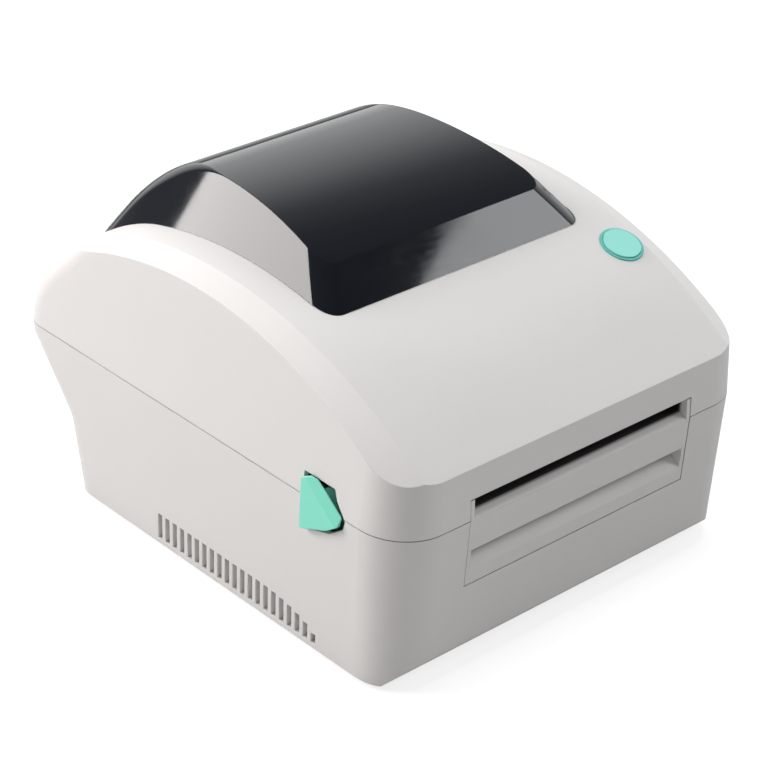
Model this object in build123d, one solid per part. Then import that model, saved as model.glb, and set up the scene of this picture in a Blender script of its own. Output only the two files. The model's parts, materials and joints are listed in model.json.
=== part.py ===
from build123d import *
from functools import cache
import math
import os

# Thermal label printer. Millimetres, +X to the printer's right, +Y to its rear, +Z up.
# The origin is under the middle of the feet, on the surface that the printer stands on.

# ---- casing ----
WIDTH = 198.0
DEPTH = 232.0
PART_Z = 70.0          # joint between the lower case and the cover
SEAM = 0.3
WALL = 2.4
FRONT = -DEPTH / 2
BACK = DEPTH / 2
SIDE = WIDTH / 2
FOOT_H = 2.0
FOOT_R = 7.0
FOOT_X = SIDE - 21.0
FOOT_Y = (FRONT + 32.0, BACK - 54.0)
FRONT_R = 22.0         # plan radius of the two front corners
REAR_R = 12.0          # rounding of the two rear corners, down the whole back
COVER_DRAFT = 4.0
BASE_DRAFT = 1.7
CROWN_R = 205.0        # the top is an arc of this radius about an axis along X
CROWN_Y = 8.0
CROWN_Z = 133.0
CROWN_END_Y = BACK - 56.0
SHOULDER_Y = BACK - 12.0   # where the crown turns down into the back
SHOULDER_Z = 101.0
TOE_H = 12.0           # raised toe under the front
TOE_L = 11.0
TAIL_KNEE_Y = BACK - 25.0  # the back tucks in below the joint, down to the connectors
TAIL_KNEE_Z = 33.0
TAIL_FOOT_Y = BACK - 32.0
TAIL_TOP = 6.0         # the back stays upright this far below the joint
TAIL_BLEND = 13.0
KNEE_BLEND = 8.0
BEVEL_ANGLE = 26.0     # sloping strip along both sides of the top
BEVEL_X = SIDE - 14.0
FLOOR_Z = FOOT_H + WALL

# ---- window ----
HOOD_X = SIDE - 29.0   # half width where the window leaves the cover
HOOD_LEAN = 40.6       # lean of its flanks
HOOD_FRONT_Y = FRONT + 74.0
HOOD_RIDGE_Y = FRONT + 88.0
HOOD_R = 190.0
HOOD_CROWN_Y = BACK - 83.0
HOOD_CROWN_Z = 150.5
HOOD_END_Y = BACK - 66.0
HOOD_BACK_Y = BACK - 22.0
HOOD_BACK_Z = 118.0
HOOD_WALL = 2.2
HOOD_CORNER_R = 13.0   # ridges at the front of its flanks
HOOD_BACK_R = 12.0     # ridges down its back
HOOD_LIP = 4.0
HOOD_LIP_T = 2.0
FIT = 0.15

# ---- cover hinge ----
HINGE_Y = BACK - 3.5
HINGE_Z = PART_Z + SEAM / 2
BARREL_R = 3.4
BARREL_GAP = 0.6
COVE_GAP = 1.4         # the cover's rear edge swings through the cove round the hinge
HINGE_PIN_R = 1.5
EAR_X = (SIDE - 37.0, SIDE - 33.0, SIDE - 15.0, SIDE - 11.0)
EAR_GAP = 0.3
RUN = 0.05             # radial clearance of a running fit

# ---- front, with the label slot above and the liner slot below ----
PANEL_X = SIDE - 37.0
PANEL_Z = 40.3
PANEL_GAP = 0.3
SLOT_X = PANEL_X - 2.0
LABEL_SLOT = (72.0, 78.0)
LINER_SLOT = (51.3, 56.0)
LINER_LIP_Z = 46.0
LIP_Y = FRONT + 12.0
LIP_T = 1.5

# ---- side levers and latch ----
LATCH_Y = FRONT + 58.0
LATCH_Z = 40.0
LATCH_R = 2.5
LATCH_BOSS_R = 5.0
ARM_X = (SIDE - 19.0, SIDE - 15.0)
TAB_X = (SIDE + 0.2, SIDE + 2.2)
TAB_RIDGE = ((-11.2, 37.1), (-23.0, 28.1))   # from the latch shaft
TAB_FACET = 23.4       # slope of the thumb piece's face forward of the ridge
NECK_Y = (LATCH_Y - 18.0, LATCH_Y - 10.0)
NECK_Z = (LATCH_Z + 24.0, LATCH_Z + 33.0)
STRIKER_Y = LATCH_Y - 14.0
STRIKER_Z = LATCH_Z + 40.0
STRIKER_R = 2.0
HOOK_GAP = 0.4
LATCH_SPRING_GAP = 7.5

# ---- print mechanism ----
FRAME_X = SIDE - 29.0
FRAME_T = 2.0
PLATEN_Y = FRONT + 24.0
PLATEN_Z = 65.0
PLATEN_R = 7.5
PLATEN_X = SLOT_X - 1.0
SHAFT_R = 3.0
BUSH_R = 5.5
GEAR_X = (FRAME_X + 4.0, FRAME_X + 9.5)
MODULE = 1.0
PLATEN_TEETH = 24
IDLER_TEETH = 24
MOTOR_TEETH = 12
CENTRE_PLAY = 0.1
IDLER_ANGLE = -80.0
MOTOR_ANGLE = -70.0
IDLER_PIN_R = 2.0
MOTOR_SIZE = 35.0
MOTOR_L = 26.0
MOTOR_SHAFT_R = 1.5
HEAD_X = SLOT_X - 8.0
HEAD_Y = (PLATEN_Y - 5.0, PLATEN_Y + 7.0)
HEAD_T = 1.5
HEAD_GAP = 0.3
SINK_X = SLOT_X - 4.0
SINK_Y = (PLATEN_Y - 7.0, PLATEN_Y + 13.0)
SINK_H = 6.0
SPRING_L = 7.7
SPRING_X = SINK_X - 26.0
SPRING_TURNS = 4
WIRE_R = 0.5
BRACKET_T = 2.5
BRACKET_X = FRAME_X - 4.0
BRACKET_Y = (PLATEN_Y - 12.0, PLATEN_Y + 20.0)
BRACKET_TOP = PLATEN_Z + PLATEN_R + HEAD_GAP + HEAD_T + SINK_H + SPRING_L + BRACKET_T
BRACKET_POST_X = SINK_X + 5.5
BRACKET_POST_Y = (PLATEN_Y - 8.0, PLATEN_Y + 15.0)
BRACKET_POST_R = 3.5
CHEEK_T = 2.0

# ---- screws ----
SCREW_R = 1.5
SCREW_HEAD_R = 2.8
SCREW_HEAD_H = 1.8
FRAME_SCREW_X = FRAME_X + 7.0
FRAME_SCREW_Y = (PLATEN_Y - 4.0, PLATEN_Y + 32.0)

# ---- roll bay ----
DECK_Z = 61.5
DECK_T = 3.5
DECK_X = SIDE - 11.0
DECK_Y = (FRONT + 71.0, BACK - 16.5)
DECK_NOSE_X = FRAME_X - 4.0
DECK_NOSE_Y = FRONT + 40.0
BAY_Y = BACK - 88.0
BAY_Z = 80.0
BAY_R = 64.0
BAY_X = SIDE - 35.0
BAY_WALL = 2.0
HOLDER_IN = BAY_X - 4.5
HOLDER_T = 3.0
HOLDER_W = 48.0
HOLDER_TOP = 108.0
HUB_R = 12.0
HUB_L = 10.0
RACK_Z = (7.0, 12.0)
PINION_TEETH = 16
PINION_POST_R = 3.0
SLIDE_GAP = 0.3

# ---- gap sensor ----
SENSOR_Y = PLATEN_Y + 30.0
SENSOR_RAIL_Z = 54.0
SENSOR_RAIL_R = 1.5
SENSOR_SIZE = (12.0, 8.0)
SENSOR_SLOT_X = SLOT_X - 6.0

# ---- feed button ----
BUTTON_X = BEVEL_X - 10.0
BUTTON_Y = FRONT + 56.0
BUTTON_R = 8.2
BUTTON_RING = 1.3
BUTTON_TRAVEL = 0.8
BUTTON_PROUD = 1.0
BUTTON_BOARD = 11.0    # depth of the button's board below the top
BUTTON_WELL_T = 2.0
RING_DEEP = 8.0
STEM_END = 7.0

# ---- electronics and back ----
BOARD_X = (9.0 - SIDE, SIDE - 59.0)
BOARD_Y = (BACK - 70.0, BACK - 34.0)
BOARD_HOLE_Y = (BOARD_Y[0] + 5.0, BOARD_Y[1] - 5.0)
BOARD_HOLE_IN = 6.0
BOARD_Z = 8.0
BOARD_T = 1.6
JACK_X = BOARD_X[0] + 20.0
USB_X = BOARD_X[0] + 48.0
JACK_W = 9.2
USB_W = 12.0
SOCKET_H = 11.0
SWITCH_X = SIDE - 37.0
SWITCH_Z = 17.0
SWITCH_TILT = 7.0
ROCKER_PIVOT = 3.0     # depth of the rocker's axis below the back's face
ROCKER_PIN_R = 1.0
FANFOLD_X = PANEL_X - 4.0
FANFOLD_Y = BACK - 18.0

# ---- vents along the foot of both sides ----
VENT_COUNT = 21
VENT_FULL = 14
VENT_PITCH = 4.73
VENT_W = 2.6
VENT_H = 11.8
VENT_FIRST_Y = 24.8


# ---------------------------------------------------------------- helpers
def box(x, y, z):
    size = Box(x[1] - x[0], y[1] - y[0], z[1] - z[0], align=Align.MIN)
    return Pos(x[0], y[0], z[0]) * size


def rod(x, centre, radius):
    """Cylinder along X between two x values, about a (y, z) centre."""
    bar = Rot(0, 90, 0) * Cylinder(radius, x[1] - x[0])
    return Pos((x[0] + x[1]) / 2, centre[0], centre[1]) * bar


def post(centre, z, radius):
    bar = Cylinder(radius, z[1] - z[0], align=(Align.CENTER, Align.CENTER, Align.MIN))
    return Pos(centre[0], centre[1], z[0]) * bar


def side_plate(x, face):
    """Extrude a (y, z) face between two x values."""
    return Pos(x[0], 0, 0) * extrude(Plane.YZ * face, x[1] - x[0])


def outline(*points):
    return make_face(Polyline(*points, close=True))


def mirrored(part):
    return mirror(part, Plane.YZ)


def both_sides(part):
    return part + mirrored(part)


def near(shape, point, count=1):
    """The vertices of a flat shape closest to a point."""
    return shape.vertices().sort_by_distance(Vector(*point))[:count]


# ---------------------------------------------------------------- casing form
def crown_z(y):
    return CROWN_Z - CROWN_R + math.sqrt(CROWN_R**2 - (y - CROWN_Y) ** 2)


def crown_axis():
    return Axis((0, CROWN_Y, CROWN_Z - CROWN_R), (1, 0, 0))


def tail_y(z):
    """Outer face of the back below the knee."""
    run = (z - FOOT_H) / (TAIL_KNEE_Z - FOOT_H)
    return TAIL_FOOT_Y + run * (TAIL_KNEE_Y - TAIL_FOOT_Y)


def top_arcs():
    """The crown, the shoulder and the upper back from the side, each tangent to the next."""
    front = FRONT - 1
    slope = (CROWN_END_Y - CROWN_Y) / CROWN_R
    crown = ThreePointArc((front, crown_z(front)), (CROWN_Y, CROWN_Z), (CROWN_END_Y, crown_z(CROWN_END_Y)))
    shoulder = TangentArc(crown @ 1, (SHOULDER_Y, SHOULDER_Z), tangent=(math.sqrt(1 - slope**2), -slope))
    down = shoulder % 1
    turn = (math.pi / 2 + math.atan2(-down.Y, down.X)) / 2
    upright_z = SHOULDER_Z - (BACK - SHOULDER_Y) * math.tan(turn)
    rear = TangentArc(shoulder @ 1, (BACK, upright_z), tangent=down)
    return crown, shoulder, rear


def tail_points(foot_z):
    return (BACK, PART_Z - TAIL_TOP), (TAIL_KNEE_Y, TAIL_KNEE_Z), (tail_y(foot_z), foot_z)


def blended_tail(face):
    top, knee, _ = tail_points(FOOT_H)
    face = fillet(near(face, top), TAIL_BLEND)
    return fillet(near(face, knee), KNEE_BLEND)


def side_face():
    """Outline of the closed printer from the side. The front runs 1 mm outside the plan, which trims it."""
    crown, shoulder, rear = top_arcs()
    front = (crown @ 0).X
    low = Polyline(
        rear @ 1,
        *tail_points(FOOT_H),
        (FRONT + TOE_L, FOOT_H),
        (front, FOOT_H + TOE_H + 1),
        crown @ 0,
    )
    return blended_tail(make_face(crown + shoulder + rear + low))


def back_face():
    """The outline's back alone, run straight on above the shoulder and below the foot."""
    _, _, rear = top_arcs()
    far = 130.0
    top = rear @ 0 - far * (rear % 0)
    front = -DEPTH
    rest = Polyline(rear @ 1, *tail_points(-far), (front, -far), (front, top.Y), top, rear @ 0)
    return blended_tail(make_face(rear + rest))


def runs_down_the_back(edge):
    return edge.center().Y > 0 and abs((edge % 0.5).Z) > 0.5


def drafted_half(inset, height, draft):
    """One side of the joint: the plan drafted inwards, with the rear corners rounded along the back."""
    plan = Pos(0, BACK) * Rectangle(WIDTH - 2 * inset, 2 * (DEPTH - inset))
    plan = fillet(plan.vertices().group_by(Axis.Y)[0], FRONT_R - inset)
    half = extrude(Pos(0, 0, PART_Z) * plan, height, taper=draft)
    half &= extrude(Plane.YZ * offset(back_face(), -inset), WIDTH, both=True)
    return fillet([edge for edge in half.edges() if runs_down_the_back(edge)], REAR_R - inset)


def bevel_form(inset):
    """Everything under the two sloping strips, as a turned form about the crown axis."""
    lean = math.tan(math.radians(BEVEL_ANGLE))
    shift = inset * math.tan(math.radians(BEVEL_ANGLE / 2))
    reach = SIDE + 2
    rise = 4.0
    top_x = BEVEL_X - shift - rise / lean
    top_r = CROWN_R - inset + rise
    low_r = top_r - (reach - top_x) * lean
    half = Polyline((0, 0), (reach, 0), (reach, low_r), (top_x, top_r), (0, top_r), close=True)
    face = Plane.XZ * make_face(half)
    face = Pos(0, CROWN_Y, CROWN_Z - CROWN_R) * face
    return both_sides(revolve(face, crown_axis(), 360))


def side_form(inset):
    return extrude(Plane.YZ * offset(side_face(), -inset), WIDTH, both=True)


@cache
def cover_form(inset=0.0):
    """The closed form above the joint, moved inwards by an inset."""
    return side_form(inset) & drafted_half(inset, PART_Z, COVER_DRAFT) & bevel_form(inset)


@cache
def base_form(inset=0.0):
    """The closed form below the joint, moved inwards by an inset."""
    return side_form(inset) & drafted_half(inset, -PART_Z, BASE_DRAFT)


@cache
def casing(inset=0.0):
    """The closed outer form of both halves."""
    return cover_form(inset) + base_form(inset)


def hood(grow=0.0):
    """The window's form, which stands out of the cover's top and back."""
    lean = math.tan(math.radians(HOOD_LEAN))
    centre_z = HOOD_CROWN_Z - HOOD_R
    ridge_z = centre_z + math.sqrt(HOOD_R**2 - (HOOD_RIDGE_Y - HOOD_CROWN_Y) ** 2)
    end_z = centre_z + math.sqrt(HOOD_R**2 - (HOOD_END_Y - HOOD_CROWN_Y) ** 2)
    front_slope = (ridge_z - crown_z(HOOD_FRONT_Y)) / (HOOD_RIDGE_Y - HOOD_FRONT_Y)
    deep = 26.0
    slope = (HOOD_END_Y - HOOD_CROWN_Y) / HOOD_R
    top = ThreePointArc((HOOD_RIDGE_Y, ridge_z), (HOOD_CROWN_Y, HOOD_CROWN_Z), (HOOD_END_Y, end_z))
    back = TangentArc(top @ 1, (HOOD_BACK_Y, HOOD_BACK_Z), tangent=(math.sqrt(1 - slope**2), -slope))
    end = back % 1
    foot_y = HOOD_BACK_Y + deep * end.X / -end.Y
    front_y = HOOD_FRONT_Y - deep / front_slope
    rest = Polyline(
        back @ 1,
        (foot_y, HOOD_BACK_Z - deep),
        (front_y, HOOD_BACK_Z - deep),
        (front_y, ridge_z - front_slope * (HOOD_RIDGE_Y - front_y)),
        (HOOD_RIDGE_Y, ridge_z),
    )
    side = make_face(top + back + rest)
    side = extrude(Plane.YZ * offset(side, grow, kind=Kind.INTERSECTION), WIDTH, both=True)
    spread = HOOD_X + grow / math.cos(math.radians(HOOD_LEAN))
    low = -16.0
    high = 40.0
    flank = Polyline(
        (0, CROWN_R + low),
        (spread - low * lean, CROWN_R + low),
        (spread - high * lean, CROWN_R + high),
        (0, CROWN_R + high),
        close=True,
    )
    flank = Pos(0, CROWN_Y, CROWN_Z - CROWN_R) * (Plane.XZ * make_face(flank))
    flanks = both_sides(revolve(flank, crown_axis(), 360))
    form = side & flanks
    if grow > FIT:
        return form
    sloping = [edge for edge in form.edges() if edge.length > 20 and abs(edge.center().X) > HOOD_X - 20]
    back = [edge for edge in sloping if HOOD_END_Y < edge.center().Y < HOOD_BACK_Y + 8]
    form = fillet(back, HOOD_BACK_R + grow)
    sloping = [edge for edge in form.edges() if edge.length > 20 and abs(edge.center().X) > HOOD_X - 20]
    sloping = [edge for edge in sloping if edge.center().Z > HOOD_BACK_Z - HOOD_CORNER_R]
    front = [edge for edge in sloping if edge.center().Y < HOOD_RIDGE_Y - 0.5]
    return fillet(front, HOOD_CORNER_R + grow)


# ---------------------------------------------------------------- gears
def gear_face(teeth, phase):
    """Spur gear with straight flanks. The phase is the angle of one tooth's centre in degrees."""
    pitch_r = teeth * MODULE / 2
    backlash = 0.12 / pitch_r
    half = math.pi / 2 / teeth - backlash / 2
    lean = math.tan(math.radians(20))
    tip = (pitch_r + 0.95 * MODULE, half - 0.95 * lean * MODULE / pitch_r)
    root = (pitch_r - 1.2 * MODULE, half + 1.1 * lean * MODULE / pitch_r)
    points = []
    for tooth in range(teeth):
        centre = math.radians(phase) + 2 * math.pi * tooth / teeth
        for radius, angle in ((root[0], -root[1]), (tip[0], -tip[1]), (tip[0], tip[1]), (root[0], root[1])):
            points.append((radius * math.cos(centre + angle), radius * math.sin(centre + angle)))
    return outline(*points)


def mesh_phase(phase, teeth, direction, driven):
    """Tooth angle of a driven gear that lies in a direction from its driver and meshes with it."""
    return direction + 180 + (direction - phase) * teeth / driven + 180 / driven


def step_along(centre, angle, teeth_a, teeth_b):
    """Centre of the next gear of a train, in the (y, z) plane."""
    distance = (teeth_a + teeth_b) * MODULE / 2 + CENTRE_PLAY
    radians = math.radians(angle)
    return centre[0] + distance * math.cos(radians), centre[1] + distance * math.sin(radians)


PLATEN = (PLATEN_Y, PLATEN_Z)
IDLER = step_along(PLATEN, IDLER_ANGLE, PLATEN_TEETH, IDLER_TEETH)
MOTOR = step_along(IDLER, MOTOR_ANGLE, IDLER_TEETH, MOTOR_TEETH)
LATCH = (LATCH_Y, LATCH_Z)
HINGE = (HINGE_Y, HINGE_Z)
BAY = (BAY_Y, BAY_Z)
SENSOR_RAIL = (SENSOR_Y, SENSOR_RAIL_Z)


def spur_gear(x, centre, teeth, phase, bore):
    gear = side_plate(x, Pos(centre[0], centre[1]) * gear_face(teeth, phase))
    return gear - rod((x[0] - 1, x[1] + 1), centre, bore)


def platen_gear():
    return spur_gear(GEAR_X, PLATEN, PLATEN_TEETH, IDLER_ANGLE, SHAFT_R)


def idler_gear():
    phase = mesh_phase(IDLER_ANGLE, PLATEN_TEETH, IDLER_ANGLE, IDLER_TEETH)
    return spur_gear(GEAR_X, IDLER, IDLER_TEETH, phase, IDLER_PIN_R + RUN)


def motor_pinion():
    first = mesh_phase(IDLER_ANGLE, PLATEN_TEETH, IDLER_ANGLE, IDLER_TEETH)
    phase = mesh_phase(first, IDLER_TEETH, MOTOR_ANGLE, MOTOR_TEETH)
    gear = side_plate(GEAR_X, Pos(*MOTOR) * gear_face(MOTOR_TEETH, phase))
    return gear + rod((FRAME_X - MOTOR_L / 3, GEAR_X[1] + 1), MOTOR, MOTOR_SHAFT_R)


# ---------------------------------------------------------------- lower case
def vents():
    """Row of upright slots along the foot of the left wall. The last ones get shorter along an arc."""
    slots = []
    tail = VENT_COUNT - VENT_FULL + 0.5
    for i in range(VENT_COUNT):
        past = max(i - VENT_FULL + 1, 0) / tail
        height = VENT_H * math.sqrt(1 - past**2)
        y = VENT_FIRST_Y - i * VENT_PITCH
        across = (y - VENT_W / 2, y + VENT_W / 2)
        slots.append(box((-WIDTH, 3 * WALL - SIDE), across, (FLOOR_Z, FLOOR_Z + height)))
    return Compound(slots)


def lever_window():
    """Opening in the side walls that the lever's neck moves in. The cover's share lies above the joint."""
    face = outline(
        (-4.3, 15.3), (-4.3, 40.5), (-21.5, 40.5), (-23.2, 36), (-28.5, 29.5), (-27.2, 25.5), (-20, 20),
    )
    face = fillet(near(face, (-28.5, 29.5)) + near(face, (-27.2, 25.5)) + near(face, (-20, 20)), 1.5)
    return side_plate((-WIDTH, 6 - SIDE), Pos(*LATCH) * face)


def hinge_zone(radius, x):
    return both_sides(rod(x, HINGE, radius))


def hinge_ears():
    """Four ears that carry the pins, on webs down to the sloping back."""
    ears = []
    foot = outline(
        (HINGE_Y - BARREL_R, HINGE_Z), (HINGE_Y + BARREL_R, HINGE_Z), (HINGE_Y - 4, 58), (HINGE_Y - 12, 56),
    )
    for low, high in ((EAR_X[0], EAR_X[1]), (EAR_X[2], EAR_X[3])):
        ears.append(rod((low, high), HINGE, BARREL_R))
        ears.append(side_plate((low, high), foot))
    return both_sides(sum(ears, Part()))


def board_holes():
    return [(x, y) for x in (BOARD_X[0] + BOARD_HOLE_IN, BOARD_X[1] - BOARD_HOLE_IN) for y in BOARD_HOLE_Y]


def floor_posts():
    """Bosses for the board, the pinion's post and the two ledges under the deck."""
    posts = [post(place, (FLOOR_Z - 1, BOARD_Z), SCREW_HEAD_R) for place in board_holes()]
    posts.append(post((0, BAY_Y), (FLOOR_Z - 1, RACK_Z[1] + 0.6), PINION_POST_R))
    posts.append(post((0, BAY_Y), (FLOOR_Z - 1, RACK_Z[0] - SLIDE_GAP), PINION_POST_R + 2))
    for side in (-1, 1):
        y = BAY_Y + side * (PINION_TEETH * MODULE / 2 + 3)
        rail = (-HOLDER_IN - 2.5, HOLDER_IN + 2.5)
        posts.append(box(rail, (y - 1.5, y + 1.5), (FLOOR_Z - 1, RACK_Z[0] - SLIDE_GAP)))
    along = (DECK_Y[0] + 5, DECK_Y[1] - 15.5)
    ledge = box((DECK_X - 6, SIDE + 5), along, (DECK_Z - DECK_T - 5, DECK_Z - DECK_T))
    return sum(posts, Part()) + both_sides(ledge)


def lower_case():
    tub = base_form() - base_form(WALL)
    tub += floor_posts() & base_form(WALL / 2)
    cove_r = BARREL_R + COVE_GAP
    corners = box((-SIDE, SIDE), (HINGE_Y - SEAM, DEPTH), (0, DEPTH))
    tub -= rod((-EAR_X[3] - 2, EAR_X[3] + 2), HINGE, cove_r)
    tub -= rod((-SIDE, SIDE), HINGE, cove_r) & corners
    tub += hinge_ears() & box((-WIDTH, WIDTH), (0, BACK - SEAM), (0, DEPTH))
    tub -= both_sides(rod((EAR_X[0] - 1, EAR_X[3] + 1), HINGE, HINGE_PIN_R))
    tub -= both_sides(vents())
    tub -= both_sides(lever_window())
    opening = PANEL_X + PANEL_GAP
    tub -= box((-opening, opening), (-DEPTH, FRONT + 8), (PANEL_Z - PANEL_GAP, DEPTH))
    tub -= box((-FANFOLD_X, FANFOLD_X), (FANFOLD_Y, DEPTH), (DECK_Z, DEPTH))
    tub -= jack_hole() + usb_hole() + switch_hole()
    return tub


def feet():
    pads = [post((x, y), (0, FOOT_H), FOOT_R) for x in (-FOOT_X, FOOT_X) for y in FOOT_Y]
    return Compound(pads)


def front_panel():
    """Insert in the front: label lip above, liner slot and its rounded lip below, flanges behind."""
    span = (-PANEL_X, PANEL_X)
    skin = casing(FIT) - casing(WALL + FIT)
    panel = skin & box(span, (-DEPTH, FRONT + 8 - LIP_T), (PANEL_Z, LABEL_SLOT[1] + 0.6))
    flange = casing(WALL + FIT) - casing(WALL + FIT + LIP_T)
    flange = flange & box((-PANEL_X - 3, PANEL_X + 3), (-DEPTH, LIP_Y), (PANEL_Z - 3, PART_Z - 1))
    front = FRONT + 0.5
    level = LABEL_SLOT[0]
    shelf_top = ThreePointArc((front, level - 2.2), (front + 3, level - 0.5), (LIP_Y, level))
    shelf_under = (front + 2, level - 5)
    shelf_low = Polyline((LIP_Y, level), (LIP_Y, level - LIP_T), shelf_under, (front, level - 2.2))
    shelf = side_plate(span, make_face(shelf_top + shelf_low))
    level = LINER_SLOT[0]
    lip_top = ThreePointArc((front, LINER_LIP_Z), (front + 4, level - 1.2), (LIP_Y, level))
    lip_end = LINER_LIP_Z - 2.5
    lip_low = Polyline((LIP_Y, level), (LIP_Y, level - LIP_T), (front + 3, lip_end), (front, LINER_LIP_Z))
    lip = side_plate(span, make_face(lip_top + lip_low))
    panel += flange
    panel -= box((-SLOT_X, SLOT_X), (-DEPTH, LIP_Y), (LABEL_SLOT[0] - 2.2, DEPTH))
    panel -= box((-SLOT_X, SLOT_X), (-DEPTH, LIP_Y), (LINER_LIP_Z, LINER_SLOT[1]))
    cheek = box((SLOT_X, PANEL_X), (front + 1.5, LIP_Y), (LINER_LIP_Z - 2, LABEL_SLOT[1] + 0.6))
    panel += both_sides(cheek) + shelf + lip
    return panel & casing(FIT)


# ---------------------------------------------------------------- frames, platen and drive
def frame_face():
    front, nose, top, end = PLATEN_Y - 14, PLATEN_Y - 10, PLATEN_Z + 9, PLATEN_Y + 41
    face = outline(
        (PLATEN_Y - 8, FLOOR_Z), (front, FLOOR_Z + TOE_H), (front, PLATEN_Z - 3), (nose, top),
        (PLATEN_Y + 10, top), (PLATEN_Y + 18, PLATEN_Z - 7), (end, PLATEN_Z - 15), (end, FLOOR_Z),
    )
    return fillet(near(face, (nose, top)) + near(face, (PLATEN_Y + 10, top)), 3)


def frame(side):
    """Upright steel plate with a foot turned outwards."""
    plate = side_plate((FRAME_X, FRAME_X + FRAME_T), frame_face())
    plate += box((FRAME_X, FRAME_X + 12), (PLATEN_Y - 8, PLATEN_Y + 36), (FLOOR_Z, FLOOR_Z + FRAME_T))
    plate -= rod((FRAME_X - 1, FRAME_X + FRAME_T + 1), PLATEN, BUSH_R)
    plate -= rod((FRAME_X - 1, FRAME_X + FRAME_T + 1), LATCH, LATCH_R + RUN)
    plate -= rod((FRAME_X - 1, FRAME_X + FRAME_T + 1), SENSOR_RAIL, SENSOR_RAIL_R)
    for y in FRAME_SCREW_Y:
        plate -= post((FRAME_SCREW_X, y), (0, 20), SCREW_R)
    if side > 0:
        plate -= rod((FRAME_X - 1, FRAME_X + FRAME_T + 1), MOTOR, 5)
        plate -= rod((FRAME_X - 1, FRAME_X + FRAME_T + 1), IDLER, IDLER_PIN_R)
        return plate
    return mirrored(plate)


def screw(centre, seat, shank):
    """Pan-head screw with a cross recess, its head on a seat and its shank below."""
    part = post(centre, (seat, seat + SCREW_HEAD_H), SCREW_HEAD_R)
    part = chamfer(part.edges().sort_by(Axis.Z)[-1], 0.7)
    part += post(centre, (seat - shank, seat), SCREW_R)
    cut = Box(3, 0.7, 1.6) + Box(0.7, 3, 1.6)
    return part - Pos(centre[0], centre[1], seat + SCREW_HEAD_H) * cut


def frame_screws():
    seat = FLOOR_Z + FRAME_T
    places = [(side * FRAME_SCREW_X, y) for side in (-1, 1) for y in FRAME_SCREW_Y]
    return Compound([screw(place, seat, FRAME_T) for place in places])


def platen_bushes():
    bush = rod((FRAME_X - 1, FRAME_X + FRAME_T + 0.6), PLATEN, BUSH_R)
    bush += rod((FRAME_X - 1, FRAME_X), PLATEN, BUSH_R + 1.5)
    bush -= rod((FRAME_X - 2, FRAME_X + FRAME_T + 1), PLATEN, SHAFT_R + RUN)
    return both_sides(bush)


def platen_shaft():
    """Shaft with a groove for a clip at its left end."""
    shaft = rod((-FRAME_X - 5, -FRAME_X - 4), PLATEN, SHAFT_R)
    shaft += rod((-FRAME_X - 4, -FRAME_X - 3), PLATEN, SHAFT_R - 0.6)
    return shaft + rod((-FRAME_X - 3, GEAR_X[1] + 0.5), PLATEN, SHAFT_R)


def platen_rubber():
    sleeve = rod((-PLATEN_X, PLATEN_X), PLATEN, PLATEN_R)
    sleeve -= rod((-PLATEN_X - 1, PLATEN_X + 1), PLATEN, SHAFT_R)
    return chamfer(sleeve.edges().filter_by(GeomType.CIRCLE).sort_by(SortBy.RADIUS)[-2:], 0.8)


def idler_pin():
    end = GEAR_X[1] + SEAM
    return rod((FRAME_X, end), IDLER, IDLER_PIN_R) + rod((end, end + 1), IDLER, IDLER_PIN_R + 1.5)


def drive_motor():
    """Square stepper motor between its two end plates, with the pilot that sits in the frame."""
    def block(size, x):
        face = Pos(*MOTOR) * RectangleRounded(size, size, 4)
        return side_plate(x, face)

    back = FRAME_X - MOTOR_L
    motor = block(MOTOR_SIZE, (FRAME_X - 6, FRAME_X)) + block(MOTOR_SIZE, (back, back + 6))
    motor += block(MOTOR_SIZE - 2, (back + 6, FRAME_X - 6))
    motor += rod((FRAME_X, FRAME_X + 1.5), MOTOR, 5)
    return motor - rod((FRAME_X - MOTOR_L / 3 - 1, FRAME_X + 5), MOTOR, MOTOR_SHAFT_R + RUN)


def coil_spring(radius, rise):
    """Coil about +Z from the origin, in straight steps so that it stays light."""
    steps = 12
    points = []
    for i in range(SPRING_TURNS * steps + 1):
        angle = 2 * math.pi * i / steps
        height = rise * i / (SPRING_TURNS * steps)
        points.append((radius * math.cos(angle), radius * math.sin(angle), height))
    path = Polyline(*points)
    wire = Plane(origin=path @ 0, z_dir=path % 0) * RegularPolygon(WIRE_R, 6)
    return sweep(wire, path=path, transition=Transition.RIGHT)


# ---------------------------------------------------------------- latch and side levers
def latch_arm():
    """Arm from the shaft up to the hook, whose nose stands just in front of the striker pin."""
    nose_y = STRIKER_Y - STRIKER_R - HOOK_GAP - LATCH_Y
    face = outline(
        (-5, -2), (3.5, 3.5), (-14, 29), (-19, 35), (-19, 40.5),
        (nose_y, 42.5), (-18, 46), (-23, 45), (-24.5, 35), (-12, 12),
    )
    arm = side_plate(ARM_X, Pos(*LATCH) * face)
    return arm + rod((ARM_X[0] - 1, ARM_X[1] + 2), LATCH, LATCH_BOSS_R)


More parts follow.
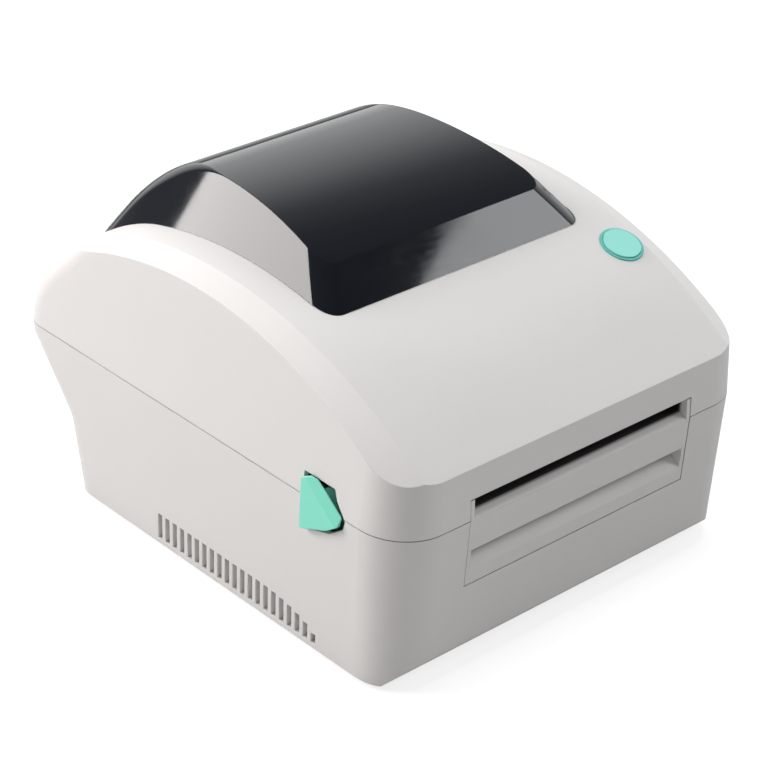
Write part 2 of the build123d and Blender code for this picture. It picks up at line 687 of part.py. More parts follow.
def latch_tab():
    """Thumb piece outside the wall: it points forward, and its upper front edge slopes off."""
    face = outline(
        (-5.5, 17), (-5.5, 39), (-9.3, 41), (-13, 41), (-25.4, 32.7), (-26.8, 30.2),
        (-26, 26.6), (-20.6, 22.6), (-7, 17),
    )
    face = fillet(near(face, (-5.5, 39)) + near(face, (-13, 41)) + near(face, (-20.6, 22.6)), 1)
    high, low = TAB_RIDGE
    along = Vector(0, high[0] - low[0], high[1] - low[1]).normalized()
    across = Vector(0, -along.Z, along.Y)
    facet = math.radians(TAB_FACET)
    normal = Vector(math.cos(facet), 0, 0) + across * math.sin(facet)
    ridge = Plane(origin=(TAB_X[1], LATCH_Y + low[0], LATCH_Z + low[1]), x_dir=along, z_dir=normal)
    tab = side_plate(TAB_X, Pos(*LATCH) * face)
    tab -= ridge * Box(60, 40, 10, align=(Align.CENTER, Align.CENTER, Align.MIN))
    return tab + box((ARM_X[1] - 1, TAB_X[0] + 1), NECK_Y, NECK_Z)


def latch_lever():
    lever = latch_arm() + latch_tab()
    return lever - rod((ARM_X[0] - 2, ARM_X[1] + 0.5), LATCH, LATCH_R)


def latch_shaft():
    return rod((-ARM_X[1] - 0.5, ARM_X[1] + 0.5), LATCH, LATCH_R)


def latch_spring():
    """Torsion spring on the latch shaft, beside the left frame, against a collar."""
    start = LATCH_SPRING_GAP - FRAME_X
    length = SPRING_TURNS * 1.3
    coil = Rot(0, 90, 0) * coil_spring(LATCH_R + 1.2, length)
    end = start + length
    collar = rod((end, end + 1), LATCH, LATCH_R + 2) - rod((end - 1, end + 2), LATCH, LATCH_R)
    return Pos(start, LATCH_Y, LATCH_Z) * coil + collar


def striker_pins():
    return both_sides(rod((ARM_X[0] - 4, ARM_X[1] + 1.5), (STRIKER_Y, STRIKER_Z), STRIKER_R))


# ---------------------------------------------------------------- roll bay
def media_tray():
    """Deck with a round-bottomed bay for the label roll, and slots for the holders and the sensor."""
    level = (DECK_Z - DECK_T, DECK_Z)
    deck = box((-DECK_X, DECK_X), DECK_Y, level)
    deck += box((-DECK_NOSE_X, DECK_NOSE_X), (DECK_NOSE_Y, DECK_Y[0] + 1), level)
    deck += box((-FANFOLD_X, FANFOLD_X), (DECK_Y[1] - 0.5, DECK_Y[1] + 4.5), level)
    deck = deck & casing(WALL + 1)
    below = box((-BAY_R * 2, BAY_R * 2), (-DEPTH, DEPTH), (0, DECK_Z))
    tray = deck + (rod((-BAY_X - BAY_WALL, BAY_X + BAY_WALL), BAY, BAY_R + BAY_WALL) & below)
    tray -= rod((-BAY_X, BAY_X), BAY, BAY_R)
    tray -= both_sides(box((8, HOLDER_IN + HOLDER_T + 0.8), (BAY_Y - 3, BAY_Y + 3), (0, DECK_Z - 10)))
    tray -= box((-SENSOR_SLOT_X, SENSOR_SLOT_X), (SENSOR_Y - 4.5, SENSOR_Y + 4.5), (0, DEPTH))
    return tray


def holder_profile():
    tall = Pos(BAY_Y, 0) * Rectangle(HOLDER_W, HOLDER_TOP - HOLDER_W / 2, align=(Align.CENTER, Align.MIN))
    tall += Pos(BAY_Y, HOLDER_TOP - HOLDER_W / 2) * Circle(HOLDER_W / 2)
    return tall & Pos(*BAY) * Circle(BAY_R - 0.6)


def roll_holder():
    """Right roll holder: cheek, hub for the roll's core, stiffening rim and the foot through the tray."""
    out = HOLDER_IN + HOLDER_T
    cheek = side_plate((HOLDER_IN, out), holder_profile())
    hollow = offset(holder_profile(), -3) - Pos(*BAY) * Circle(HUB_R + 3)
    cheek -= side_plate((HOLDER_IN + 1.6, out + 1), hollow)
    hub = rod((HOLDER_IN - HUB_L, HOLDER_IN + 1), BAY, HUB_R)
    hub = chamfer(hub.edges().group_by(Axis.X)[0], 3)
    cheek += hub
    cheek -= rod((HOLDER_IN - HUB_L - 1, out + 1), BAY, HUB_R - 5)
    foot = box((HOLDER_IN - 2, out), (BAY_Y - 2.5, BAY_Y + 2.5), (RACK_Z[0], BAY_Z - BAY_R + 2))
    foot += box((HOLDER_IN - 2, out), (BAY_Y - 2.5, BAY_Y + 13), RACK_Z)
    return cheek + foot


def rack():
    """Toothed bar of the right holder, behind the pinion."""
    pitch = math.pi * MODULE
    pitch_y = PINION_TEETH * MODULE / 2 + CENTRE_PLAY
    lean = math.tan(math.radians(20))
    half = pitch / 4 - 0.06
    end = HOLDER_IN - 2
    points = []
    for tooth in range(int(end / pitch)):
        x = (tooth - 2 + 0.5) * pitch
        points.append((x - half - 1.1 * lean, pitch_y + 1.2))
        points.append((x - half + 0.95 * lean, pitch_y - 0.95))
        points.append((x + half - 0.95 * lean, pitch_y - 0.95))
        points.append((x + half + 1.1 * lean, pitch_y + 1.2))
    back = pitch_y + 5
    points += [(end, pitch_y + 1.2), (end, back), (points[0][0], back)]
    return Pos(0, BAY_Y, RACK_Z[0]) * extrude(outline(*points), RACK_Z[1] - RACK_Z[0])


def turned(part):
    """The same piece on the other side: half a turn about the pinion's axis."""
    return Pos(0, BAY_Y, 0) * Rot(0, 0, 180) * Pos(0, -BAY_Y, 0) * part


def holder_pinion():
    gear = extrude(gear_face(PINION_TEETH, 90), RACK_Z[1] - RACK_Z[0])
    return Pos(0, BAY_Y, RACK_Z[0]) * gear - post((0, BAY_Y), (0, 20), PINION_POST_R + RUN)


# ---------------------------------------------------------------- gap sensor
def sensor_rail():
    return rod((-FRAME_X - FRAME_T, FRAME_X + FRAME_T), SENSOR_RAIL, SENSOR_RAIL_R)


def gap_sensor():
    half = SENSOR_SIZE[0] / 2
    deep = SENSOR_SIZE[1] / 2
    carriage = box((-half, half), (SENSOR_Y - deep, SENSOR_Y + deep), (SENSOR_RAIL_Z - 3.5, DECK_Z - 0.3))
    carriage -= box((-2.5, 2.5), (SENSOR_Y - 1.5, SENSOR_Y + 1.5), (DECK_Z - 1.5, DECK_Z))
    return carriage - rod((-half - 1, half + 1), SENSOR_RAIL, SENSOR_RAIL_R + RUN)


# ---------------------------------------------------------------- electronics
def main_board():
    board = box(BOARD_X, BOARD_Y, (BOARD_Z, BOARD_Z + BOARD_T))
    for place in board_holes():
        board -= post(place, (0, BOARD_Z + 5), SCREW_R)
    return board


def board_screws():
    return Compound([screw(place, BOARD_Z + BOARD_T, BOARD_T) for place in board_holes()])


def board_parts():
    """Capacitors, chips and the cable header on the board."""
    parts = [post((x, 28), (0, 10), 4) for x in (-60, -48)]
    parts += [box((x - 7, x + 7), (10, 24), (0, 1.4)) for x in (-85, -18)]
    parts.append(box((-115, -95), (3, 8), (0, 4.5)))
    parts.append(box((-36, -24), (16, 26), (0, 6)))
    return Pos(BOARD_X[1], BOARD_Y[0], BOARD_Z + BOARD_T) * Compound(parts)


def socket_hole(centre_x, half):
    """Opening in the back, clear of a socket that stands on the board."""
    low = BOARD_Z + BOARD_T - SEAM
    return box((centre_x - half, centre_x + half), (TAIL_FOOT_Y - 6, DEPTH), (low, low + SOCKET_H + 2 * SEAM))


def jack_hole():
    return socket_hole(JACK_X, JACK_W / 2 + 0.4)


def usb_hole():
    return socket_hole(USB_X, USB_W / 2 + 0.4)


def dc_jack():
    low = BOARD_Z + BOARD_T
    front = tail_y(low) + 0.4
    centre = low + 6
    half = JACK_W / 2
    body = box((JACK_X - half, JACK_X + half), (front - 14, front), (low, low + SOCKET_H))
    hole = Rot(90, 0, 0) * Cylinder(3.2, 20)
    body -= Pos(JACK_X, front, centre) * hole
    pin = Rot(90, 0, 0) * Cylinder(1.0, 10)
    return body + Pos(JACK_X, front - 6, centre) * pin


def usb_socket():
    low = BOARD_Z + BOARD_T
    front = tail_y(low) + 0.4
    half = USB_W / 2
    body = box((USB_X - half, USB_X + half), (front - 16, front), (low, low + SOCKET_H))
    body = chamfer(body.edges().filter_by(Axis.Y).group_by(Axis.Z)[-1], 1.5)
    body -= box((USB_X - 4.2, USB_X + 4.2), (front - 12, front + 1), (low + 1.5, low + 9.2))
    return body + box((USB_X - 2.7, USB_X + 2.7), (front - 13, front - 3), (low + 3.8, low + 7))


def switch_place():
    """Frame on the sloping back: x across, y up the face, z outwards."""
    rise = TAIL_KNEE_Z - FOOT_H
    run = TAIL_KNEE_Y - TAIL_FOOT_Y
    long = math.hypot(rise, run)
    origin = (SWITCH_X, tail_y(SWITCH_Z), SWITCH_Z)
    return Plane(origin=origin, x_dir=(-1, 0, 0), z_dir=(0, rise / long, -run / long))


def switch_hole():
    return switch_place().location * Box(13, 19, 30)


def power_switch():
    """Rocker switch housing: bezel outside the wall, box behind it, open well for the rocker."""
    body = Pos(0, 0, 1.5) * Box(15.5, 21.5, 1.5, align=(Align.CENTER, Align.CENTER, Align.MAX))
    body += Box(12.6, 18.6, 13, align=(Align.CENTER, Align.CENTER, Align.MAX))
    body -= Pos(0, 0, 2) * Box(10.4, 16.8, 11, align=(Align.CENTER, Align.CENTER, Align.MAX))
    body -= Pos(0, 0, -ROCKER_PIVOT) * Rot(0, 90, 0) * Cylinder(1.0 + RUN, 11.6)
    return switch_place().location * body


def power_rocker():
    """Shallow V paddle, resting with its lower half pressed in."""
    face = outline((-7.2, 4.4), (0, 3.2), (7.2, 4.4), (5, -3), (-5, -3))
    paddle = Rot(0, -90, 0) * Rot(0, 0, 90) * extrude(face, 4.9, both=True)
    paddle = paddle + Rot(0, 90, 0) * Cylinder(1.0, 11.2)
    place = switch_place().location * Pos(0, 0, -ROCKER_PIVOT) * Rot(SWITCH_TILT, 0, 0)
    return place * paddle


def hinge_pins():
    return both_sides(rod((EAR_X[0] + 0.2, EAR_X[3] - 0.2), HINGE, HINGE_PIN_R))


# ---------------------------------------------------------------- cover
def button_place():
    lean = math.asin((BUTTON_Y - CROWN_Y) / CROWN_R)
    return Location((BUTTON_X, BUTTON_Y, crown_z(BUTTON_Y)), (math.degrees(-lean), 0, 0))


def disc(place, radius, low, high):
    part = Pos(0, 0, low) * Cylinder(radius, high - low, align=(Align.CENTER, Align.CENTER, Align.MIN))
    return place * part


def bracket_holes():
    return [(x, y) for x in (-BRACKET_POST_X, BRACKET_POST_X) for y in BRACKET_POST_Y]


def upper_case():
    over = box((-WIDTH, WIDTH), (-DEPTH, DEPTH), (PART_Z + SEAM, 2 * PART_Z))
    cover = (cover_form() - cover_form(WALL)) & over
    inner = cover_form(WALL / 2) & over
    cover -= both_sides(lever_window())
    opening = PANEL_X + PANEL_GAP
    cover -= box((-opening, opening), (-DEPTH, FRONT + 8), (PART_Z, LABEL_SLOT[1] + 1.2))
    shelf = box((-opening - 2, opening + 2), (FRONT, LIP_Y), (LABEL_SLOT[1] + 1.2, LABEL_SLOT[1] + 3.2))
    posts = [post(place, (BRACKET_TOP, DEPTH), BRACKET_POST_R) for place in bracket_holes()]
    ribs = box((ARM_X[0] - 4, ARM_X[0] - 1), (STRIKER_Y - 6, STRIKER_Y + 6), (STRIKER_Z - 5, DEPTH))
    cover += (shelf + sum(posts, Part()) + both_sides(ribs)) & inner
    cover -= both_sides(rod((ARM_X[0] - 5, ARM_X[0]), (STRIKER_Y, STRIKER_Z), STRIKER_R))
    place = button_place()
    ring_r = BUTTON_R + BUTTON_RING
    cover += disc(place, ring_r + BUTTON_WELL_T, -BUTTON_BOARD, 1) & inner
    cover -= disc(place, ring_r, -BUTTON_BOARD - 1, BUTTON_BOARD)
    barrel = [rod((-EAR_X[0] + EAR_GAP, EAR_X[0] - EAR_GAP), HINGE, BARREL_R)]
    barrel.append(both_sides(rod((EAR_X[1] + EAR_GAP, EAR_X[2] - EAR_GAP), HINGE, BARREL_R)))
    for low, high in ((EAR_X[0], EAR_X[1]), (EAR_X[2], EAR_X[3])):
        cover -= hinge_zone(BARREL_R + BARREL_GAP, (low - EAR_GAP, high + EAR_GAP))
    cover += sum(barrel, Part())
    cover -= both_sides(rod((EAR_X[0] - 2, EAR_X[3] + 2), HINGE, HINGE_PIN_R + RUN))
    return cover - hood(FIT)


def window():
    """Smoked window: a shell that stands out of the cover, on a lip under the cover's wall."""
    under = casing(WALL + FIT + HOOD_LIP_T)
    dome = hood() - hood(-HOOD_WALL) - under
    lip = (casing(WALL + FIT) - under) & hood(HOOD_LIP)
    lip = lip & box((-WIDTH, WIDTH), (HOOD_FRONT_Y - 20, DEPTH), (PART_Z + 20, DEPTH))
    lip -= disc(button_place(), BUTTON_R + BUTTON_RING + BUTTON_WELL_T + SEAM, -3 * BUTTON_BOARD, 1)
    return dome + (lip - hood(-HOOD_WALL))


def button_ring():
    place = button_place()
    ring = disc(place, BUTTON_R + BUTTON_RING, -RING_DEEP, 0.4)
    return ring - disc(place, BUTTON_R + 2 * RUN, -RING_DEEP - 1, 2)


def feed_button():
    """Cap with a stem over the switch, kept in by a flange under the ring."""
    place = button_place()
    flange = -RING_DEEP - 0.1
    button = disc(place, BUTTON_R, flange, BUTTON_PROUD)
    button += disc(place, BUTTON_R + 1, flange - 1, flange)
    button -= disc(place, BUTTON_R - 1.6, flange - 2, -2)
    return button + disc(place, 2, -STEM_END, -2)


def button_board():
    """Small board under the feed button with its tact switch."""
    place = button_place()
    upright = (Align.CENTER, Align.CENTER, Align.MIN)
    board = Pos(0, 0, -BUTTON_BOARD - BOARD_T) * Box(24, 20, BOARD_T, align=upright)
    board += Pos(0, 0, -BUTTON_BOARD) * Box(6, 6, 2.4, align=upright)
    return place * board + disc(place, 1.6, -BUTTON_BOARD + 1, -STEM_END - BUTTON_TRAVEL - 0.1)


def head_bottom():
    return PLATEN_Z + PLATEN_R + HEAD_GAP


def print_head():
    """Ceramic strip over the platen, with the raised glaze line that carries the heating dots."""
    low = head_bottom()
    plate = box((-HEAD_X, HEAD_X), HEAD_Y, (low + 0.2, low + HEAD_T))
    return plate + box((-HEAD_X, HEAD_X), (PLATEN_Y - 1, PLATEN_Y + 1), (low, low + 0.3))


def heatsink():
    """Aluminium block over the ceramic strip, finned along its back."""
    low = head_bottom() + HEAD_T
    sink = box((-SINK_X, SINK_X), SINK_Y, (low, low + SINK_H))
    for i in range(4):
        y = SINK_Y[1] - 1.5 - i * 2.4
        sink -= box((-SINK_X - 1, SINK_X + 1), (y - 1.2, y), (low + 2.5, low + SINK_H + 1))
    return sink


def head_spring(x):
    low = head_bottom() + HEAD_T + SINK_H
    return Pos(x, SINK_Y[0] + 5, low + WIRE_R) * coil_spring(3, SPRING_L - 2 * WIRE_R)


def head_springs():
    return Compound([head_spring(x) for x in (-SPRING_X, SPRING_X)])


def head_bracket():
    """Plate over the springs, with side cheeks whose lips hold the heatsink."""
    low = head_bottom() + HEAD_T
    plate = box((-BRACKET_X, BRACKET_X), BRACKET_Y, (BRACKET_TOP - BRACKET_T, BRACKET_TOP))
    in_x = SINK_X + SEAM
    cheek = box((in_x, in_x + CHEEK_T), SINK_Y, (low - 1.1, BRACKET_TOP))
    lip = box((HEAD_X + 0.5, in_x + 1), SINK_Y, (low - 1.1, low))
    bracket = plate + both_sides(cheek + lip)
    for place in bracket_holes():
        bracket -= post(place, (0, DEPTH), SCREW_R)
    return bracket


def bracket_screws():
    upside_down = Rot(180, 0, 0) * screw((0, 0), 0, BRACKET_T)
    return Compound([Pos(x, y, BRACKET_TOP - BRACKET_T) * upside_down for x, y in bracket_holes()])


def tear_bar():
    """Serrated steel strip under the cover's shelf, just inside the label slot."""
    z = LABEL_SLOT[1] + 0.2
    tip = FRONT + 3.0
    pitch = 4.0
    count = int(2 * SLOT_X / pitch) - 1
    first = -count * pitch / 2
    points = []
    for i in range(count):
        points.append((first + i * pitch, tip + 1.5))
        points.append((first + (i + 0.5) * pitch, tip))
    points += [(first + count * pitch, tip + 1.5), (first + count * pitch, LIP_Y), (first, LIP_Y)]
    return Pos(0, 0, z) * extrude(outline(*points), 1.0)


# ---------------------------------------------------------------- write the parts
NODES = {
    "lower_case": lower_case,
    "front_panel": front_panel,
    "media_tray": media_tray,
    "feet": feet,
    "frame_left": lambda: frame(-1),
    "frame_right": lambda: frame(1),
    "frame_screws": frame_screws,
    "platen_bushes": platen_bushes,
    "platen_shaft": platen_shaft,
    "platen_rubber": platen_rubber,
    "platen_gear": platen_gear,
    "idler_gear": idler_gear,
    "idler_pin": idler_pin,
    "drive_motor": drive_motor,
    "motor_pinion": motor_pinion,
    "latch_shaft": latch_shaft,
    "latch_lever_right": latch_lever,
    "latch_lever_left": lambda: mirrored(latch_lever()),
    "latch_spring": latch_spring,
    "striker_pins": striker_pins,
    "roll_holder_right": roll_holder,
    "roll_holder_left": lambda: turned(roll_holder()),
    "rack_right": rack,
    "rack_left": lambda: turned(rack()),
    "holder_pinion": holder_pinion,
    "sensor_rail": sensor_rail,
    "gap_sensor": gap_sensor,
    "main_board": main_board,
    "board_screws": board_screws,
    "board_parts": board_parts,
    "dc_jack": dc_jack,
    "usb_socket": usb_socket,
    "power_switch": power_switch,
    "power_rocker": power_rocker,
    "hinge_pins": hinge_pins,
    "upper_case": upper_case,
    "window": window,
    "button_ring": button_ring,
    "feed_button": feed_button,
    "button_board": button_board,
    "print_head": print_head,
    "heatsink": heatsink,
    "head_springs": head_springs,
    "head_bracket": head_bracket,
    "bracket_screws": bracket_screws,
    "tear_bar": tear_bar,
}


def main():
    os.makedirs("parts", exist_ok=True)
    for node, build in NODES.items():
        export_step(build(), os.path.join("parts", node + ".step"))


if __name__ == "__main__":
    main()
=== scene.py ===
import bmesh
import bpy
import json
import math
from mathutils import Euler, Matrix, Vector

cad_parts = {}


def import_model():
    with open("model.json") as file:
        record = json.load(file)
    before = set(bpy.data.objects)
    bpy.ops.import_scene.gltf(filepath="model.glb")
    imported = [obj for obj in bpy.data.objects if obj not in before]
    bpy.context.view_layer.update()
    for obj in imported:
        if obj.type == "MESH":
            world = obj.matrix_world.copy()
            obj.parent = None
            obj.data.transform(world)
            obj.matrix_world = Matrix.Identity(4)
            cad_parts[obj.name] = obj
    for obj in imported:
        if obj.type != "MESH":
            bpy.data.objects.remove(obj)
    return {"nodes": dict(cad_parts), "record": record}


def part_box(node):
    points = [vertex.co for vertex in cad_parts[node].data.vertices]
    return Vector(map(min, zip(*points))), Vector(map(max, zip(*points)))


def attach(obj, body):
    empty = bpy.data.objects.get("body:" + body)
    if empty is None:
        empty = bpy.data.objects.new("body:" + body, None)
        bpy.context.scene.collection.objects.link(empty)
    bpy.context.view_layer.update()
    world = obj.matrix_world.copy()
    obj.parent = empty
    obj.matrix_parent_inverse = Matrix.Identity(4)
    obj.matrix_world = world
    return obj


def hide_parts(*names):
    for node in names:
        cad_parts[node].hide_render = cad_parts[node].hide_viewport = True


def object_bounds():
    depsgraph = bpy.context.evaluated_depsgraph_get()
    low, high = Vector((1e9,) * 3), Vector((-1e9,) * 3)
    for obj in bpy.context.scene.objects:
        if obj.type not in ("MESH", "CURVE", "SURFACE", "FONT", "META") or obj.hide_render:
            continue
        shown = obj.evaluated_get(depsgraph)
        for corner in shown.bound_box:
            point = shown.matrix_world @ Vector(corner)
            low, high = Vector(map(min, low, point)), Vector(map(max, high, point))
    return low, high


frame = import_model()
cad_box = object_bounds()
NODES = frame["nodes"]


def rgb(red, green, blue):
    return (red, green, blue, 1.0)


def scaled(colour, factor):
    """A colour made darker or lighter."""
    return rgb(*(min(part * factor, 1.0) for part in colour))


def middle_of(node):
    low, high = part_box(node)
    return (low + high) / 2


# ---------------------------------------------------------------- node helpers
EDGE_SAMPLES = 6           # rays per sample that look for edges and crevices


class Tree:
    """A node tree, with short calls for the nodes that the finishes and the world use."""

    def __init__(self, tree):
        self.tree = tree

    def add(self, kind, **settings):
        node = self.tree.nodes.new(kind)
        for key, value in settings.items():
            setattr(node, key, value)
        return node

    def link(self, source, target):
        self.tree.links.new(source, target)

    def put(self, socket, value):
        """Set a socket, or link it where the value is another node's output."""
        if isinstance(value, bpy.types.NodeSocket):
            self.link(value, socket)
        else:
            socket.default_value = value

    def fill(self, node, **values):
        """Put values into the inputs of a node by name, with _ for a space."""
        for key, value in values.items():
            self.put(node.inputs[key.replace("_", " ")], value)

    def span(self, value, low, high, from_low=0.0, from_high=1.0, curve="LINEAR"):
        node = self.add("ShaderNodeMapRange", interpolation_type=curve)
        self.fill(node, Value=value, From_Min=from_low, From_Max=from_high, To_Min=low, To_Max=high)
        return node.outputs["Result"]

    def math(self, operation, a, b=0.0):
        node = self.add("ShaderNodeMath", operation=operation)
        self.put(node.inputs[0], a)
        self.put(node.inputs[1], b)
        return node.outputs[0]

    def part(self, vector, axis):
        node = self.add("ShaderNodeSeparateXYZ")
        self.link(vector, node.inputs[0])
        return node.outputs[axis]


class Finish(Tree):
    """A material whose patterns lie in the object's own coordinates."""

    def __init__(self, name):
        self.material = bpy.data.materials.new(name)
        self.material.use_nodes = True
        super().__init__(self.material.node_tree)
        self.shader = self.tree.nodes["Principled BSDF"]
        self.place = self.add("ShaderNodeTexCoord").outputs["Object"]

    def along(self, axis):
        return self.part(self.place, axis)

    def stretched(self, scale):
        node = self.add("ShaderNodeMapping")
        self.fill(node, Vector=self.place, Scale=scale)
        return node.outputs["Vector"]

    def noise(self, scale, detail=2.0, rough=0.5, vector=None):
        node = self.add("ShaderNodeTexNoise")
        self.fill(node, Vector=vector or self.place, Scale=scale, Detail=detail, Roughness=rough)
        return node.outputs["Fac"]

    def spots(self, scale):
        node = self.add("ShaderNodeTexVoronoi")
        self.fill(node, Vector=self.place, Scale=scale)
        return node.outputs["Distance"]

    def blend(self, factor, a, b):
        node = self.add("ShaderNodeMix", data_type="RGBA")
        for socket, value in ((node.inputs["Factor"], factor), (node.inputs[6], a), (node.inputs[7], b)):
            self.put(socket, value)
        return node.outputs[2]

    def bump(self, height, distance, edge, strength=1.0):
        """Normal with a relief, over edges that look rounded to the radius edge."""
        rounded = self.add("ShaderNodeBevel", samples=EDGE_SAMPLES)
        self.fill(rounded, Radius=edge)
        node = self.add("ShaderNodeBump")
        self.fill(node, Height=height, Distance=distance, Strength=strength, Normal=rounded.outputs["Normal"])
        return node.outputs["Normal"]

    def crevice(self, reach, low, high):
        """1 on open faces, falling to 0 in gaps and corners narrower than the reach: the mask for painted
        shade there.
        """
        node = self.add("ShaderNodeAmbientOcclusion", samples=EDGE_SAMPLES)
        self.fill(node, Distance=reach)
        return self.span(node.outputs["AO"], 0.0, 1.0, low, high)

    def shaded(self, **values):
        self.fill(self.shader, **values)
        return self.material


# ---------------------------------------------------------------- finishes
BLACK = rgb(0.012, 0.012, 0.013)
ALUMINIUM = (0.72, 0.72, 0.73)
SEAM_SHADE_REACH = 0.003               # reach of the painted shade in a seam
BETWEEN_SLOTS = 0.003      # middle of the front insert's two slots, below the platen's axis
UPPER_SLOT_SHADE = 0.0030        # depth at which each slot's painted shade begins
LOWER_SLOT_SHADE = 0.0065
SLOT_SHADE_FADE = 0.0015
CAPACITOR_TOP = 0.0010     # height of the aluminium tops on the board
MOTOR_PLATE_BACK = 0.006   # from the back of the motor to the laminations and to their end
MOTOR_PLATE_FRONT = 0.020
GLAZE = 0.0010             # half width of the print head's glaze line
BLUR = 0.0001              # softness of a painted border


def moulded(name, colour, rough=0.42, grain=0.00002, inner=None):
    """Injection-moulded plastic: fine spark-eroded grain and a slow drift of tone and gloss.

    Its seams and gaps are darkened with painted shade, and inner is a mask of the stretch painted black as
    shade."""
    t = Finish(name)
    drift = t.noise(18.0, detail=3.0)
    speck = t.noise(900.0)
    mixed = t.math("ADD", t.math("MULTIPLY", drift, 0.7), t.math("MULTIPLY", speck, 0.3))
    pits = t.math("MULTIPLY", t.spots(1100.0), 0.5)
    height = t.math("ADD", t.noise(1600.0, detail=3.0, rough=0.6), pits)
    unshaded = t.blend(mixed, scaled(colour, 0.97), scaled(colour, 1.03))
    # Painted shade: the colour falls to a quarter in seams, gaps and corners.
    shade = t.blend(t.crevice(SEAM_SHADE_REACH, 0.15, 0.55), scaled(colour, 0.25), unshaded)
    # Painted shade: the masked stretch inside the slots is painted black.
    if inner is not None:
        shade = t.blend(inner(t), shade, BLACK)
    return t.shaded(
        Base_Color=shade,
        Roughness=t.span(drift, rough - 0.05, rough + 0.06, 0.3, 0.7),
        Normal=t.bump(height, grain, edge=0.0006),
    )


def slot_shade_mask(t):
    """Mask over the insides of the two front slots, where the labels and their backing run: the stretch
    painted black as shade.
    """
    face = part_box("front_panel")[0].y
    middle = middle_of("platen_rubber").z - BETWEEN_SLOTS
    upper = t.span(t.along(2), 0.0, 1.0, middle, middle + BLUR)
    start = t.span(upper, face + LOWER_SLOT_SHADE, face + UPPER_SLOT_SHADE)
    return t.span(t.math("SUBTRACT", t.along(1), start), 0.0, 1.0, 0.0, SLOT_SHADE_FADE)


def polished(name, colour, rough=0.05):
    """Polished plastic with a faint waviness and hairline scratches in its gloss."""
    t = Finish(name)
    hair = t.noise(1.0, detail=4.0, rough=0.7, vector=t.stretched((60.0, 900.0, 900.0)))
    haze = t.noise(35.0, detail=4.0, rough=0.6)
    scratches = t.span(hair, 0.0, 0.03, 0.45, 0.8)
    gloss = t.span(haze, rough - 0.02, rough + 0.03, 0.3, 0.7)
    return t.shaded(
        Base_Color=t.blend(t.span(haze, 0.85, 1.2, 0.3, 0.7), scaled(colour, 0.8), rgb(*colour)),
        Roughness=t.math("ADD", scratches, gloss),
        Normal=t.bump(t.noise(14.0, detail=1.0), 0.00003, edge=0.0005, strength=0.5),
    )


def brushed(name, colour, along=0, rough=0.32):
    """Brushed or rolled metal, with its lines along one axis."""
    t = Finish(name)
    scale = [2200.0] * 3
    scale[along] = 40.0
    lines = t.noise(1.0, detail=4.0, rough=0.7, vector=t.stretched(scale))
    cloud = t.noise(45.0, detail=3.0)
    streaks = t.span(lines, -0.05, 0.08, 0.3, 0.7)
    return t.shaded(
        Base_Color=t.blend(t.span(lines, 0.0, 1.0, 0.3, 0.7), scaled(colour, 0.82), rgb(*colour)),
        Metallic=1.0,
        Roughness=t.math("ADD", streaks, t.span(cloud, rough - 0.04, rough + 0.05)),
        Normal=t.bump(lines, 0.00001, edge=0.0003),
    )


def rubber(name, colour):
    """Dull black rubber with a little dust on it."""
    t = Finish(name)
    dust = t.noise(160.0, detail=4.0, rough=0.65)
    return t.shaded(
        Base_Color=t.blend(t.span(dust, 0.0, 0.6, 0.45, 0.8), rgb(*colour), scaled(colour, 2.2)),
        Roughness=t.span(dust, 0.62, 0.8),
        Normal=t.bump(t.noise(1400.0), 0.00003, edge=0.0004),
    )


def circuit_board(name):
    """Green solder mask over copper tracks, with tinned pads in rows."""
    t = Finish(name)
    tracks = t.add("ShaderNodeTexBrick")
    t.fill(
        tracks,
        Vector=t.place,
        Scale=190.0,
        Mortar_Size=0.035,
        Color1=rgb(0.004, 0.05, 0.018),
        Color2=rgb(0.006, 0.07, 0.026),
        Mortar=rgb(0.02, 0.16, 0.06),
    )
    pad = t.span(t.spots(420.0), 1.0, 0.0, 0.10, 0.14)
    return t.shaded(
        Base_Color=t.blend(pad, tracks.outputs["Color"], rgb(0.55, 0.53, 0.48)),
        Roughness=t.span(t.noise(60.0), 0.25, 0.4),
        Metallic=t.math("MULTIPLY", pad, 0.8),
        Normal=t.bump(tracks.outputs["Fac"], 0.00003, edge=0.0002, strength=0.6),
    )


def parts_finish(name):
    """Board parts: black cases below, aluminium tops on the tall capacitors."""
    t = Finish(name)
    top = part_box("board_parts")[1].z - CAPACITOR_TOP
    tall = t.span(t.along(2), 0.0, 1.0, top - BLUR, top + BLUR)
    grain = t.noise(500.0, detail=3.0)
    case = t.blend(grain, BLACK, rgb(0.03, 0.03, 0.032))
    return t.shaded(
        Base_Color=t.blend(tall, case, rgb(*ALUMINIUM)),
        Metallic=tall,
        Roughness=t.span(grain, 0.35, 0.55),
        Normal=t.bump(grain, 0.00002, edge=0.0003),
    )


def motor_finish(name):
    """Stepper motor: zinc-plated end plates either side of blackened laminations."""
    t = Finish(name)
    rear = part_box("drive_motor")[0].x
    start = rear + MOTOR_PLATE_BACK
    end = rear + MOTOR_PLATE_FRONT
    x = t.along(0)
    core = t.math("MULTIPLY", t.span(x, 0.0, 1.0, start - BLUR, start), t.span(x, 1.0, 0.0, end, end + BLUR))
    sheets = t.math("SINE", t.math("MULTIPLY", x, 9000.0))
    cloud = t.noise(120.0, detail=4.0, rough=0.6)
    plate = t.blend(cloud, rgb(0.5, 0.5, 0.5), rgb(0.66, 0.65, 0.63))
    return t.shaded(
        Base_Color=t.blend(core, plate, rgb(0.02, 0.02, 0.022)),
        Metallic=t.span(core, 1.0, 0.3),
        Roughness=t.span(cloud, 0.3, 0.45),
        Normal=t.bump(t.math("MULTIPLY", sheets, core), 0.00006, edge=0.0004),
    )


